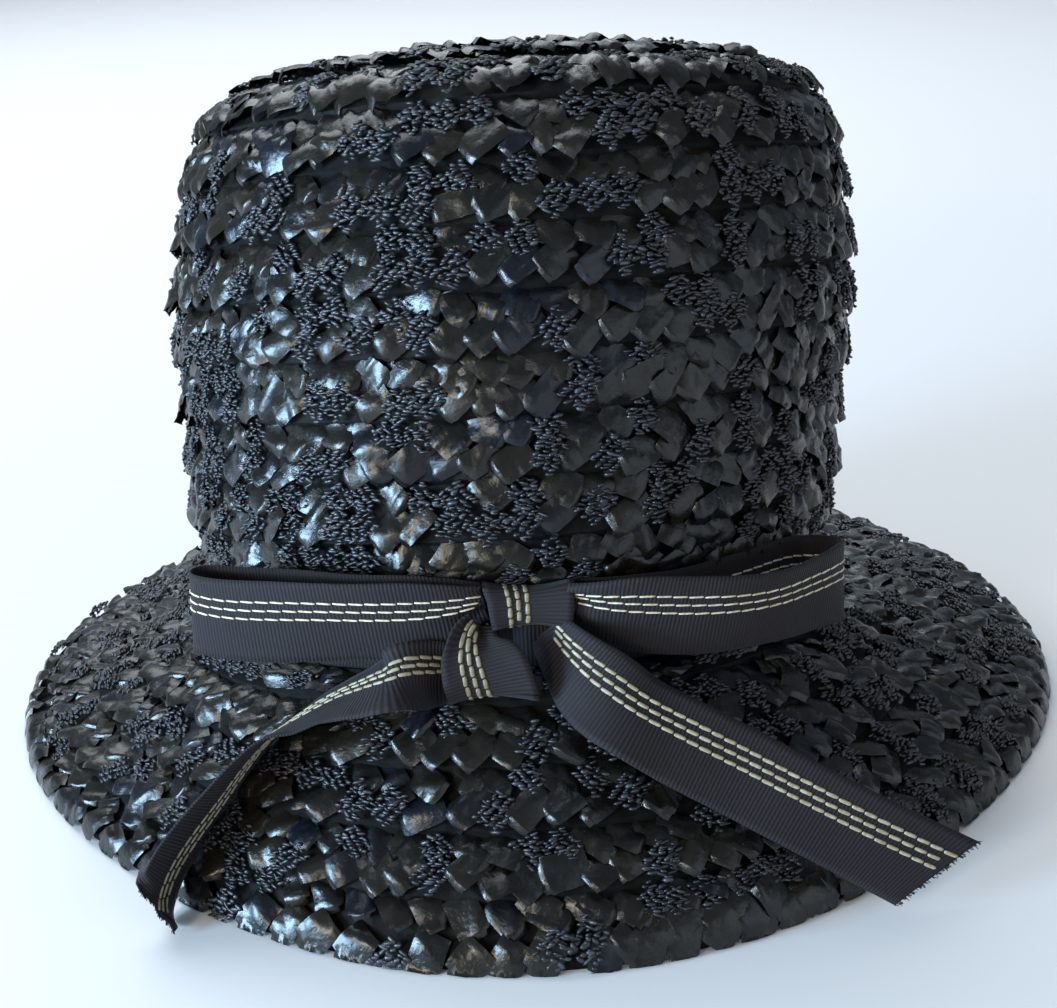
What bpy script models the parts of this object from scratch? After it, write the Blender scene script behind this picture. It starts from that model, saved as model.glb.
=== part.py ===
"""A tall straw hat of sewn braid with a sloping brim, a ribbon band and a flat bow.

Sizes are in millimetres until a mesh is written in metres. +Z is up, the bow is at the front on -Y, and the
hat stands on its brim's edge at z = 0. The crown leans back, so its rows have a frame of their own.
"""
import math

import bmesh
import bpy
from mathutils import Vector

MM = 0.001

# Crown frame: the middle of the crown's foot, how far the rows tip back, and the sideways drift of the crown
FOOT = Vector((-5.4, -16.8, 30.7))
LEAN = math.radians(14.8)
DRIFT = 0.048
OVAL = 1.078

# Braid: one spiral of rows, each row's outer edge standing over the next
COLUMNS = 60
ROW_PITCH = 14.7
FIRST_EDGE = 7.1
EDGE_HEIGHT = 0.8
EDGE_STEP = 1.3
END_SNAP = 2.5
WALL = 1.7
JOIN_GAP = 0.3

# Brim
RIM_RADIUS = 147.0
RIM_CORNER = 3.0
RIM_TOP = 2.2
RIM_SEAT_OUT = 0.4
RIM_SEAT_IN = 2.6
BRIM_ROWS = 4.5
BRIM_BULGE = 1.5
BRIM_WALL_ROOT = 2.6
BRIM_WALL_RIM = 2.2
UNDERSIDE_STATIONS = (0.10, 0.30, 0.55, 0.80)

# Ribbon
RIBBON_THICKNESS = 1.0
BAND_FOOT = 1.0
BAND_TOP = 21.0

# Knot: across, out from the band and up the crown
KNOT_LEFT = -11.8
KNOT_RIGHT = 9.0
KNOT_DEPTH = 9.0
KNOT_LOW = 11.5
KNOT_HIGH = 22.5
KNOT_CORNER = 3.2

# Crown outline from the foot up and over the tip: height above the foot, half width
CROWN_OUTLINE = (
    (0.3, 85.0),
    (11.0, 85.0),
    (21.5, 85.0),
    (26.0, 86.9),
    (31.0, 87.8),
    (47.0, 88.9),
    (62.0, 89.5),
    (75.0, 91.1),
    (88.0, 91.6),
    (105.0, 90.6),
    (119.0, 88.8),
    (128.0, 86.6),
    (134.0, 84.2),
    (139.0, 80.5),
    (142.5, 75.0),
    (145.0, 67.0),
    (147.0, 55.0),
    (149.0, 35.0),
    (150.0, 0.0),
)

# Ribbon sections: x, y, z of the middle, the direction of the stitched edge, and the width
LEFT_LOOP = (
    (-13.9, -108.2, 73.2, 0.00, -0.10, 0.99, 11.0),
    (-19.0, -110.4, 72.0, 0.03, -0.12, 0.99, 16.5),
    (-31.0, -109.6, 70.6, 0.08, -0.13, 0.99, 21.0),
    (-55.0, -103.8, 68.8, 0.10, -0.08, 0.99, 21.0),
    (-70.0, -98.2, 67.3, 0.10, -0.02, 0.99, 21.0),
    (-79.0, -93.3, 66.5, 0.10, 0.00, 0.99, 21.0),
    (-82.8, -89.6, 66.2, 0.10, 0.00, 0.99, 21.0),
    (-82.4, -86.0, 66.0, 0.10, 0.00, 0.99, 21.0),
    (-78.0, -85.0, 65.8, 0.10, 0.02, 0.99, 21.0),
    (-66.5, -88.6, 66.0, 0.10, 0.02, 0.99, 21.0),
    (-46.0, -98.0, 68.0, 0.09, -0.06, 0.99, 21.0),
    (-27.0, -104.6, 70.3, 0.05, -0.08, 0.99, 20.0),
    (-18.0, -105.8, 72.0, 0.00, -0.05, 0.99, 15.0),
    (-13.6, -106.2, 73.0, 0.00, -0.05, 0.99, 11.0),
)
RIGHT_LOOP = (
    (12.1, -108.2, 72.6, 0.00, -0.10, 0.99, 11.0),
    (16.0, -110.8, 71.8, 0.00, -0.12, 0.99, 16.5),
    (25.0, -111.2, 70.3, 0.00, -0.15, 0.99, 21.0),
    (37.0, -109.0, 68.2, 0.00, -0.15, 0.99, 21.0),
    (49.0, -105.0, 66.5, 0.00, -0.20, 0.98, 21.0),
    (60.0, -99.0, 65.0, -0.03, -0.22, 0.97, 21.0),
    (69.1, -91.0, 63.8, -0.05, -0.22, 0.97, 21.0),
    (74.6, -85.0, 63.0, -0.05, -0.18, 0.98, 21.0),
    (77.6, -79.0, 61.4, -0.04, -0.08, 0.99, 21.0),
    (77.2, -72.5, 59.2, -0.02, 0.02, 0.99, 21.0),
    (73.7, -68.0, 57.9, 0.00, 0.08, 0.99, 21.0),
    (68.8, -67.6, 57.9, 0.00, 0.10, 0.99, 21.0),
    (62.5, -73.0, 59.6, 0.00, 0.10, 0.99, 21.0),
    (51.5, -84.2, 61.5, 0.00, 0.10, 0.99, 21.0),
    (40.7, -92.6, 62.8, 0.00, 0.08, 0.99, 21.0),
    (30.6, -98.9, 65.0, 0.00, 0.04, 0.99, 20.0),
    (20.0, -103.8, 68.4, 0.00, 0.00, 0.99, 17.0),
    (11.9, -106.2, 72.2, 0.00, -0.05, 0.99, 11.0),
)
KNOT_END = (
    (-8.6, -110.4, 66.1, -0.95, -0.10, 0.15, 10.0),
    (-11.0, -115.5, 64.9, -0.97, 0.00, 0.10, 14.0),
    (-12.2, -117.6, 61.4, -0.99, 0.02, 0.00, 19.0),
    (-10.2, -118.6, 56.4, -0.99, 0.00, 0.02, 21.0),
    (-9.4, -118.0, 53.4, -0.99, 0.00, 0.02, 21.0),
    (-9.3, -116.4, 52.3, -0.99, 0.00, 0.02, 21.0),
    (-9.3, -114.8, 53.4, -0.99, 0.00, 0.02, 21.0),
    (-9.3, -114.0, 57.4, -0.99, 0.00, 0.02, 21.0),
)
LEFT_TAIL = (
    (-9.5, -106.6, 58.7, 0.05, 0.20, 0.97, 9.0),
    (-15.0, -109.9, 57.8, 0.05, 0.00, 0.99, 12.0),
    (-22.0, -112.6, 58.2, 0.00, 0.10, 0.99, 15.5),
    (-29.5, -116.0, 60.0, -0.03, 0.36, 0.93, 16.5),
    (-35.6, -118.6, 57.2, -0.12, 0.84, 0.52, 16.5),
    (-41.6, -115.2, 53.4, -0.20, 0.96, 0.10, 17.5),
    (-48.4, -111.0, 50.6, -0.23, 0.95, -0.18, 18.5),
    (-56.1, -109.2, 46.6, -0.18, 0.92, -0.34, 20.0),
    (-63.7, -110.3, 42.3, -0.06, 0.85, -0.52, 21.0),
    (-70.8, -112.2, 36.2, 0.02, 0.78, -0.62, 21.0),
    (-77.6, -114.5, 28.6, 0.08, 0.75, -0.66, 21.0),
    (-84.6, -117.8, 20.6, 0.14, 0.73, -0.67, 21.0),
    (-89.6, -121.0, 14.2, 0.20, 0.72, -0.66, 21.0),
    (-92.8, -124.2, 9.8, 0.28, 0.76, -0.58, 19.0),
    (-94.4, -127.0, 8.6, 0.32, 0.84, -0.42, 15.0),
)
RIGHT_TAIL = (
    (4.4, -110.6, 64.3, 0.95, 0.00, 0.20, 10.0),
    (9.2, -115.7, 61.0, 0.81, 0.20, 0.55, 17.0),
    (15.0, -121.0, 55.8, 0.66, 0.62, 0.40, 20.0),
    (22.5, -123.5, 50.5, 0.60, 0.58, 0.53, 21.0),
    (34.0, -125.5, 43.5, 0.53, 0.50, 0.66, 21.0),
    (46.0, -127.0, 36.5, 0.50, 0.45, 0.72, 21.0),
    (58.0, -129.0, 29.5, 0.48, 0.40, 0.78, 21.0),
    (70.0, -130.5, 22.4, 0.47, 0.38, 0.79, 21.0),
    (81.0, -131.8, 16.0, 0.47, 0.36, 0.80, 21.5),
    (91.6, -132.6, 9.8, 0.47, 0.36, 0.80, 22.0),
)
LEFT_TAIL_SLANT = 3.0
RIGHT_TAIL_SLANT = 6.0

# Colours: linear red, green and blue, and roughness
STRAW = (0.016, 0.017, 0.020, 0.42)
RIBBON = (0.035, 0.032, 0.040, 0.70)

ROW_UP = Vector((0.0, math.sin(LEAN), math.cos(LEAN)))
ROW_BACK = Vector((0.0, math.cos(LEAN), -math.sin(LEAN)))


def clear_scene():
    """Remove every object that the file opened with."""
    for item in list(bpy.data.objects):
        bpy.data.objects.remove(item, do_unlink=True)


def material(name, colour):
    """A plain Principled surface."""
    finish = bpy.data.materials.new(name)
    finish.use_nodes = True
    shader = finish.node_tree.nodes["Principled BSDF"]
    shader.inputs["Base Color"].default_value = (colour[0], colour[1], colour[2], 1.0)
    shader.inputs["Roughness"].default_value = colour[3]
    finish.diffuse_color = (colour[0], colour[1], colour[2], 1.0)
    return finish


def smooth_rows(rows, steps):
    """Rows of numbers joined by a Catmull-Rom curve, with steps points to a span."""
    count = len(rows)
    result = []
    for k in range(count - 1):
        before = rows[max(k - 1, 0)]
        start = rows[k]
        end = rows[k + 1]
        after = rows[min(k + 2, count - 1)]
        for step in range(steps):
            t = step / steps
            result.append(tuple(
                0.5 * (2 * b + (c - a) * t + (2 * a - 5 * b + 4 * c - d) * t * t + (3 * b - a - 3 * c + d) * t ** 3)
                for a, b, c, d in zip(before, start, end, after)))
    result.append(tuple(rows[-1]))
    return result


def crown_place(angle, radius, height, proud=0.0):
    """A point of the crown: angle clockwise from the back, half width, height above the foot, and offset."""
    across = (radius + proud) * math.sin(angle) + DRIFT * height
    along = (OVAL * radius + proud) * math.cos(angle)
    return FOOT + Vector((across, 0.0, 0.0)) + ROW_BACK * along + ROW_UP * height


def rim_place(angle, inset, height):
    """A point by the rim, which is a little fuller at the front, back and sides than between them."""
    radius = RIM_RADIUS + RIM_CORNER * math.cos(4 * angle) - inset
    return Vector((radius * math.sin(angle), radius * math.cos(angle), height))


def column_angle(column):
    """The angle of a column, clockwise seen from above, from the back."""
    return 2 * math.pi * (column % COLUMNS) / COLUMNS


class CrownOutline:
    """The crown's outline as a curve from the middle of the tip out and down to the foot."""

    def __init__(self):
        points = smooth_rows(CROWN_OUTLINE, 6)
        points.reverse()
        self.points = points
        self.lengths = [0.0]
        for a, b in zip(points, points[1:]):
            self.lengths.append(self.lengths[-1] + math.hypot(b[0] - a[0], b[1] - a[1]))
        self.total = self.lengths[-1]

    def at(self, length):
        """Half width, height and the outward normal at a length along the outline."""
        k = 1
        while k < len(self.lengths) - 1 and self.lengths[k] < length:
            k += 1
        part = (length - self.lengths[k - 1]) / (self.lengths[k] - self.lengths[k - 1])
        height = self.points[k - 1][0] + (self.points[k][0] - self.points[k - 1][0]) * part
        radius = self.points[k - 1][1] + (self.points[k][1] - self.points[k - 1][1]) * part
        rise = self.points[k][0] - self.points[k - 1][0]
        spread = self.points[k][1] - self.points[k - 1][1]
        size = math.hypot(rise, spread)
        return radius, height, -rise / size, spread / size


def row_edges(column, first, total):
    """Length and offset of each row's edge and of the step behind it, in one column of the spiral."""
    result = [(0.0, 0.0)]
    rows = math.ceil(total / ROW_PITCH) + 1
    for row in range(-1, rows):
        edge = first + ROW_PITCH * (row + column / COLUMNS)
        for length, lift in ((edge, EDGE_HEIGHT), (edge + EDGE_STEP, -EDGE_HEIGHT)):
            if length < END_SNAP:
                result.append((0.0, 0.0))
            elif length > total - END_SNAP:
                result.append((total, 0.0))
            else:
                result.append((length, lift))
    result.append((total, 0.0))
    return result


class Shell:
    """A closed mesh built from points that are shared where they meet."""

    def __init__(self):
        self.mesh = bmesh.new()
        self.found = {}

    def vertex(self, point):
        key = tuple(round(value, 3) for value in point)
        if key not in self.found:
            self.found[key] = self.mesh.verts.new(point * MM)
        return self.found[key]

    def face(self, points):
        corners = []
        for point in points:
            corner = self.vertex(point)
            if corner not in corners:
                corners.append(corner)
        if len(corners) > 2:
            self.mesh.faces.new(corners)

    def grid(self, columns):
        """Faces between each column of points and the next."""
        for left, right in zip(columns, columns[1:]):
            for k in range(len(left) - 1):
                self.face((left[k], left[k + 1], right[k + 1], right[k]))

    def finish(self, name, finish, smooth_angle):
        """Write the mesh to an object, facing outwards."""
        bmesh.ops.recalc_face_normals(self.mesh, faces=self.mesh.faces)
        bmesh.ops.triangulate(self.mesh, faces=self.mesh.faces)
        data = bpy.data.meshes.new(name)
        self.mesh.to_mesh(data)
        self.mesh.free()
        data.shade_smooth()
        data.set_sharp_from_angle(angle=math.radians(smooth_angle))
        data.materials.append(finish)
        item = bpy.data.objects.new(name, data)
        bpy.context.collection.objects.link(item)
        return item


def make_crown(finish):
    """The crown's tip and side: ribbed outside, smooth inside, open at the foot."""
    outline = CrownOutline()
    inside = tuple(outline.total * part for part in (1.0, 0.93, 0.84, 0.72, 0.6, 0.5, 0.43, 0.39, 0.35, 0.31, 0.2, 0.1, 0.0))
    band_line = outline.total - (BAND_TOP + JOIN_GAP)
    columns = []
    for column in range(COLUMNS + 1):
        angle = column_angle(column)
        points = []
        for length, lift in row_edges(column, FIRST_EDGE, band_line) + [(outline.total, 0.0)]:
            radius, height, out, up = outline.at(length)
            points.append(crown_place(angle, radius, height + lift * up, lift * out))
        for length in inside:
            radius, height, out, up = outline.at(length)
            depth = -(EDGE_HEIGHT + WALL)
            if length == outline.total:
                up = 0.0
            if length == 0.0:
                out = 0.0
            points.append(crown_place(angle, radius, height + depth * up, depth * out))
        columns.append(points)
    shell = Shell()
    shell.grid(columns)
    return shell.finish("crown", finish, 25)


def brim_place(angle, part, lift):
    """A point of the brim's top face: part runs from the crown's foot to the rim, lift is along the normal."""
    def flat(turn, share):
        root = crown_place(turn, CROWN_OUTLINE[0][1], 0.0)
        return root.lerp(rim_place(turn, 0.0, RIM_TOP), share)

    small = 0.001
    around = flat(angle + small, part) - flat(angle - small, part)
    out = flat(angle, part + small) - flat(angle, part - small)
    normal = out.cross(around).normalized()
    if normal.z < 0:
        normal.negate()
    bulge = BRIM_BULGE * 4 * part * (1 - part)
    return flat(angle, part) + normal * (bulge + lift)


def make_brim(finish):
    """The brim: ribbed on top, smooth below, with a narrow flat seat under the rim."""
    root_radius = CROWN_OUTLINE[0][1]
    wall = EDGE_HEIGHT + WALL
    width = BRIM_ROWS * ROW_PITCH
    columns = []
    for column in range(COLUMNS + 1):
        angle = column_angle(column)
        points = [crown_place(angle, root_radius, 0.0, -wall)]
        for length, lift in row_edges(column, 0.0, width):
            points.append(brim_place(angle, length / width, lift))
        points.append(rim_place(angle, RIM_SEAT_OUT, 0.0))
        points.append(rim_place(angle, RIM_SEAT_IN, 0.0))
        for part in reversed(UNDERSIDE_STATIONS):
            depth = BRIM_WALL_ROOT + (BRIM_WALL_RIM - BRIM_WALL_ROOT) * part
            points.append(brim_place(angle, part, -depth))
        points.append(crown_place(angle, root_radius, -BRIM_WALL_ROOT, -wall))
        points.append(points[0])
        columns.append(points)
    shell = Shell()
    shell.grid(columns)
    return shell.finish("brim", finish, 25)


def make_band(finish):
    """The ribbon round the foot of the crown."""
    radius = CROWN_OUTLINE[0][1]
    inner = JOIN_GAP
    outer = JOIN_GAP + RIBBON_THICKNESS
    columns = []
    for column in range(COLUMNS + 1):
        angle = column_angle(column)
        ring = [
            crown_place(angle, radius, BAND_FOOT, inner),
            crown_place(angle, radius, BAND_FOOT, outer),
            crown_place(angle, radius, BAND_TOP, outer),
            crown_place(angle, radius, BAND_TOP, inner),
        ]
        columns.append(ring + ring[:1])
    shell = Shell()
    shell.grid(columns)
    return shell.finish("hat_band", finish, 40)


def make_ribbon(name, finish, sections, slant=0.0):
    """A ribbon through its sections, with its last edge cut at a slant."""
    rows = smooth_rows(sections, 3)
    middles = [Vector(row[0:3]) for row in rows]
    shell = Shell()
    loops = []
    for k, row in enumerate(rows):
        ahead = middles[min(k + 1, len(rows) - 1)] - middles[max(k - 1, 0)]
        ahead.normalize()
        side = Vector(row[3:6])
        side -= ahead * side.dot(ahead)
        side.normalize()
        face = ahead.cross(side) * (RIBBON_THICKNESS / 2)
        half = side * (row[6] / 2)
        skew = ahead * slant if k == len(rows) - 1 else Vector()
        corners = [
            middles[k] + half + skew + face,
            middles[k] + half + skew - face,
            middles[k] - half - skew - face,
            middles[k] - half - skew + face,
        ]
        loops.append(corners)
    shell.grid([loop + loop[:1] for loop in loops])
    shell.face(loops[0])
    shell.face(loops[-1])
    return shell.finish(name, finish, 40)


def bow_place(across, out, up):
    """A point by the front of the band: across from the crown's middle, out from the band, up the crown."""
    front = crown_place(math.pi, CROWN_OUTLINE[0][1], up, JOIN_GAP + RIBBON_THICKNESS)
    return Vector((across, 0.0, 0.0)) + Vector((0.0, front.y, front.z)) - ROW_BACK * out


def make_knot(finish):
    """The wrap round the middle of the bow, a round-cornered sleeve pulled in at its ends."""
    middle_out = JOIN_GAP + KNOT_DEPTH / 2
    middle_up = (KNOT_LOW + KNOT_HIGH) / 2
    stations = ((0.0, 0.86), (0.12, 0.97), (0.5, 1.0), (0.88, 0.97), (1.0, 0.86))
    corner_steps = 3
    loops = []
    for share, scale in stations:
        across = KNOT_LEFT + (KNOT_RIGHT - KNOT_LEFT) * share
        half_out = KNOT_DEPTH / 2 * scale
        half_up = (KNOT_HIGH - KNOT_LOW) / 2 * scale
        loop = []
        for sign_out, sign_up, start in ((1, 1, 0), (-1, 1, 90), (-1, -1, 180), (1, -1, 270)):
            for step in range(corner_steps + 1):
                turn = math.radians(start + 90 * step / corner_steps)
                out = middle_out + sign_out * (half_out - KNOT_CORNER) + KNOT_CORNER * math.cos(turn)
                up = middle_up + sign_up * (half_up - KNOT_CORNER) + KNOT_CORNER * math.sin(turn)
                loop.append(bow_place(across, out, up))
        loops.append(loop)
    shell = Shell()
    shell.grid([loop + loop[:1] for loop in loops])
    shell.face(loops[0])
    shell.face(loops[-1])
    return shell.finish("bow_knot", finish, 40)


def main():
    """Build every piece of the hat."""
    clear_scene()
    straw = material("straw_braid", STRAW)
    ribbon = material("grosgrain", RIBBON)
    make_crown(straw)
    make_brim(straw)
    make_band(ribbon)
    make_ribbon("bow_left_loop", ribbon, LEFT_LOOP)
    make_ribbon("bow_right_loop", ribbon, RIGHT_LOOP)
    make_knot(ribbon)
    make_ribbon("knot_end", ribbon, KNOT_END)
    make_ribbon("left_tail", ribbon, LEFT_TAIL, LEFT_TAIL_SLANT)
    make_ribbon("right_tail", ribbon, RIGHT_TAIL, RIGHT_TAIL_SLANT)


main()
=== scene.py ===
"""Dress a tall straw hat: sewn plait on crown and brim, a grosgrain band and a stitched bow.

Lengths in the tables are millimetres; meshes and properties are in metres. The bow faces -Y.
"""
import math

import bpy
import numpy as np
from mathutils import Matrix, Vector


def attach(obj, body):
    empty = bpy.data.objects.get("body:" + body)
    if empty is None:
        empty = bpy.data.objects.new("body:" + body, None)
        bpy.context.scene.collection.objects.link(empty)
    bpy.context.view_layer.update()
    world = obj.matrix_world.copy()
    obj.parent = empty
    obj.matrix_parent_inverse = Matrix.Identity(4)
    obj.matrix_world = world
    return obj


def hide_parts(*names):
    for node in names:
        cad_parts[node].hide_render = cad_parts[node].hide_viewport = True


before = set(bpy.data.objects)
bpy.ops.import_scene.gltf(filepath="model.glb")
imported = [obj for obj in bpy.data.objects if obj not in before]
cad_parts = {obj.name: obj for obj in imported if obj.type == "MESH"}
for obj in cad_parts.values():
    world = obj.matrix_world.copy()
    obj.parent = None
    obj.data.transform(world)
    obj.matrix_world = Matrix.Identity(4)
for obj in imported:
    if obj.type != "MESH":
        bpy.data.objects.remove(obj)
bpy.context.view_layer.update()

bl_info = {
    "name": "Straw hat with bow",
    "version": (1, 0, 0),
    "blender": (4, 5, 0),
    "location": "3D View > Sidebar > Hat",
    "description": "Sews the plait, band and bow of a tall straw hat onto its solid model",
    "category": "Object",
}

MM = 0.001

# The crown leans back from the middle of its foot and drifts a little sideways
FOOT = Vector((-5.4, -16.8, 30.7))
LEAN = math.radians(14.8)
DRIFT = 0.048
OVAL = 1.078
ROW_UP = np.array((0.0, math.sin(LEAN), math.cos(LEAN)))
ROW_BACK = np.array((0.0, math.cos(LEAN), -math.sin(LEAN)))

# Crown outline from the foot up and over the tip: height above the foot, half width
CROWN_OUTLINE = (
    (0.3, 85.0),
    (11.0, 85.0),
    (21.5, 85.0),
    (26.0, 86.9),
    (31.0, 87.8),
    (47.0, 88.9),
    (62.0, 89.5),
    (75.0, 91.1),
    (88.0, 91.6),
    (105.0, 90.6),
    (119.0, 88.8),
    (128.0, 86.6),
    (134.0, 84.2),
    (139.0, 80.5),
    (142.5, 75.0),
    (145.0, 67.0),
    (147.0, 55.0),
    (149.0, 35.0),
    (150.0, 0.0),
)

# Plait rows: their pitch, the first one's edge on the tip, and how far their edges rise and sink
ROW_PITCH = 14.7
FIRST_EDGE = 7.1
EDGE_LIFT = 0.8

# Brim: the rim's radius and how far it waves, its height, and how far straws reach past it
RIM_RADIUS = 147.0
RIM_CORNER = 3.0
RIM_TOP = 2.2
RIM_REACH = 2.8
BRIM_ROWS = 4.5
BRIM_BULGE = 1.5

# Band and ribbon: the crown's half width at its foot, the band's edges and its distance off the crown
FOOT_RADIUS = CROWN_OUTLINE[0][1]
BAND_FOOT = 1.0
BAND_TOP = 21.0
BAND_OFFSET = 0.8
RIBBON_WIDTH = 21.0

# Ribbon sections: x, y, z of the middle, the direction of the stitched edge, and the width
LEFT_LOOP = (
    (-11.0, -108.2, 73.6, 0.00, -0.10, 0.99, 9.4),
    (-19.0, -110.4, 72.0, 0.03, -0.12, 0.99, 16.5),
    (-31.0, -109.6, 70.6, 0.08, -0.13, 0.99, 21.0),
    (-55.0, -103.8, 68.8, 0.10, -0.08, 0.99, 21.0),
    (-70.0, -98.2, 67.3, 0.10, -0.02, 0.99, 21.0),
    (-79.0, -93.3, 66.5, 0.10, 0.00, 0.99, 21.0),
    (-82.8, -89.6, 66.2, 0.10, 0.00, 0.99, 21.0),
    (-82.4, -86.0, 66.0, 0.10, 0.00, 0.99, 21.0),
    (-78.0, -85.0, 65.8, 0.10, 0.02, 0.99, 21.0),
    (-66.5, -88.6, 66.0, 0.10, 0.02, 0.99, 21.0),
    (-46.0, -98.0, 68.0, 0.09, -0.06, 0.99, 21.0),
    (-27.0, -104.6, 70.3, 0.05, -0.08, 0.99, 20.0),
    (-18.0, -105.8, 72.0, 0.00, -0.05, 0.99, 15.0),
    (-11.0, -106.2, 73.4, 0.00, -0.05, 0.99, 9.4),
)
RIGHT_LOOP = (
    (8.2, -108.2, 73.4, 0.00, -0.10, 0.99, 9.4),
    (16.0, -110.8, 71.8, 0.00, -0.12, 0.99, 16.5),
    (25.0, -111.2, 70.3, 0.00, -0.15, 0.99, 21.0),
    (37.0, -109.0, 68.2, 0.00, -0.15, 0.99, 21.0),
    (49.0, -105.0, 66.5, 0.00, -0.20, 0.98, 21.0),
    (60.0, -99.0, 65.0, -0.03, -0.22, 0.97, 21.0),
    (69.1, -91.0, 63.8, -0.05, -0.22, 0.97, 21.0),
    (74.6, -85.0, 63.0, -0.05, -0.18, 0.98, 21.0),
    (77.6, -79.0, 61.4, -0.04, -0.08, 0.99, 21.0),
    (77.2, -72.5, 59.2, -0.02, 0.02, 0.99, 21.0),
    (73.7, -68.0, 57.9, 0.00, 0.08, 0.99, 21.0),
    (68.8, -67.6, 57.9, 0.00, 0.10, 0.99, 21.0),
    (62.5, -73.0, 59.6, 0.00, 0.10, 0.99, 21.0),
    (51.5, -84.2, 61.5, 0.00, 0.10, 0.99, 21.0),
    (40.7, -92.6, 62.8, 0.00, 0.08, 0.99, 21.0),
    (30.6, -98.9, 65.0, 0.00, 0.04, 0.99, 20.0),
    (20.0, -103.8, 68.4, 0.00, 0.00, 0.99, 17.0),
    (8.2, -106.2, 73.2, 0.00, -0.05, 0.99, 9.4),
)
KNOT_END = (
    (-12.0, -110.6, 70.2, -0.74, -0.20, 0.62, 7.0),
    (-13.0, -114.0, 68.0, -0.95, 0.00, 0.25, 12.5),
    (-12.6, -116.8, 65.0, -0.99, 0.00, 0.05, 18.0),
    (-11.4, -118.3, 60.3, -0.99, 0.00, -0.04, 20.5),
    (-10.2, -118.2, 55.0, -0.99, 0.00, -0.05, 21.0),
    (-9.8, -116.6, 52.8, -0.99, 0.00, -0.03, 21.0),
    (-9.5, -114.9, 53.6, -0.99, 0.00, 0.00, 21.0),
    (-9.3, -114.0, 57.4, -0.99, 0.00, 0.02, 21.0),
)
LEFT_TAIL = (
    (-9.5, -106.6, 58.7, 0.05, 0.20, 0.97, 9.0),
    (-15.0, -109.9, 57.8, 0.05, 0.00, 0.99, 12.0),
    (-22.0, -112.6, 58.2, 0.00, 0.10, 0.99, 15.5),
    (-29.0, -117.6, 60.4, -0.06, 0.60, 0.80, 16.5),
    (-34.6, -119.4, 59.6, -0.08, 0.94, 0.33, 16.5),
    (-40.8, -116.4, 56.4, -0.04, 1.00, 0.04, 17.5),
    (-47.6, -112.4, 52.2, -0.06, 0.99, -0.13, 18.5),
    (-55.6, -110.4, 47.0, -0.08, 0.97, -0.24, 20.0),
    (-63.7, -110.3, 42.3, -0.06, 0.85, -0.52, 21.0),
    (-70.8, -112.2, 36.2, 0.02, 0.78, -0.62, 21.0),
    (-77.6, -114.5, 28.6, 0.08, 0.75, -0.66, 21.0),
    (-84.6, -117.8, 20.6, 0.14, 0.73, -0.67, 21.0),
    (-89.6, -121.0, 14.2, 0.20, 0.72, -0.66, 21.0),
    (-92.2, -124.8, 9.4, 0.31, 0.77, -0.56, 19.0),
    (-92.2, -128.6, 7.6, 0.40, 0.81, -0.40, 13.0),
)
RIGHT_TAIL = (
    (3.4, -108.4, 66.2, 0.80, -0.40, 0.42, 11.0),
    (6.8, -112.8, 62.2, 0.72, -0.42, 0.55, 17.0),
    (13.0, -118.6, 56.6, 0.66, 0.12, 0.72, 20.5),
    (22.5, -123.5, 50.5, 0.60, 0.58, 0.53, 21.0),
    (34.0, -125.5, 43.5, 0.53, 0.50, 0.66, 21.0),
    (46.0, -127.0, 36.5, 0.50, 0.45, 0.72, 21.0),
    (58.0, -129.0, 29.5, 0.48, 0.40, 0.78, 21.0),
    (70.0, -130.5, 22.4, 0.47, 0.38, 0.79, 21.0),
    (81.0, -131.8, 16.0, 0.47, 0.36, 0.80, 21.5),
    (91.6, -132.6, 9.8, 0.47, 0.36, 0.80, 22.0),
)

# Rows of stitching, as shares of the ribbon's width from its stitched edge, and yarns at a cut end
STITCH_ROWS = (0.25, 0.355, 0.46)
LOOSE_YARNS = 90

# Share of the cells that hold nubbed cords instead of a flat straw: under layer, upper layer and rim
UNDER_CORDS = 0.34
OVER_CORDS = 0.3
RIM_CORDS = 0.12

# Where the plait is parted into pieces: lengths from the middle of the tip, and rows of the brim
TIP_END = 88.0
WAIST = 150.0
INNER_BRIM_ROWS = 2.9

# The photographed view: focal length and width in pixels
FOCAL_PIXELS = 1800.0
VIEW_PIXELS = 1057.0


def node_finish(name):
    """A new node material and its shader."""
    finish = bpy.data.materials.new(name)
    finish.use_nodes = True
    return finish, finish.node_tree, finish.node_tree.nodes["Principled BSDF"]


def add_node(tree, kind, **settings):
    """A shader node with its sockets set by name."""
    node = tree.nodes.new(kind)
    for name, value in settings.items():
        if hasattr(node, name):
            setattr(node, name, value)
        else:
            node.inputs[name.replace("_", " ")].default_value = value
    return node


def ramp(tree, source, stops):
    """A colour ramp fed by a value."""
    node = tree.nodes.new("ShaderNodeValToRGB")
    node.color_ramp.elements[0].position = stops[0][0]
    node.color_ramp.elements[0].color = (*stops[0][1], 1.0)
    node.color_ramp.elements[1].position = stops[-1][0]
    node.color_ramp.elements[1].color = (*stops[-1][1], 1.0)
    for position, colour in stops[1:-1]:
        node.color_ramp.elements.new(position).color = (*colour, 1.0)
    tree.links.new(source, node.inputs["Fac"])
    return node.outputs["Color"]


def spread(tree, source, low, high):
    """A value moved from 0..1 to low..high."""
    node = tree.nodes.new("ShaderNodeMapRange")
    node.inputs["To Min"].default_value = low
    node.inputs["To Max"].default_value = high
    tree.links.new(source, node.inputs["Value"])
    return node.outputs["Result"]


def noise(tree, place, **settings):
    """Noise over the piece's own coordinates."""
    node = add_node(tree, "ShaderNodeTexNoise", **settings)
    tree.links.new(place.outputs["Object"], node.inputs["Vector"])
    return node.outputs["Fac"]


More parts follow.
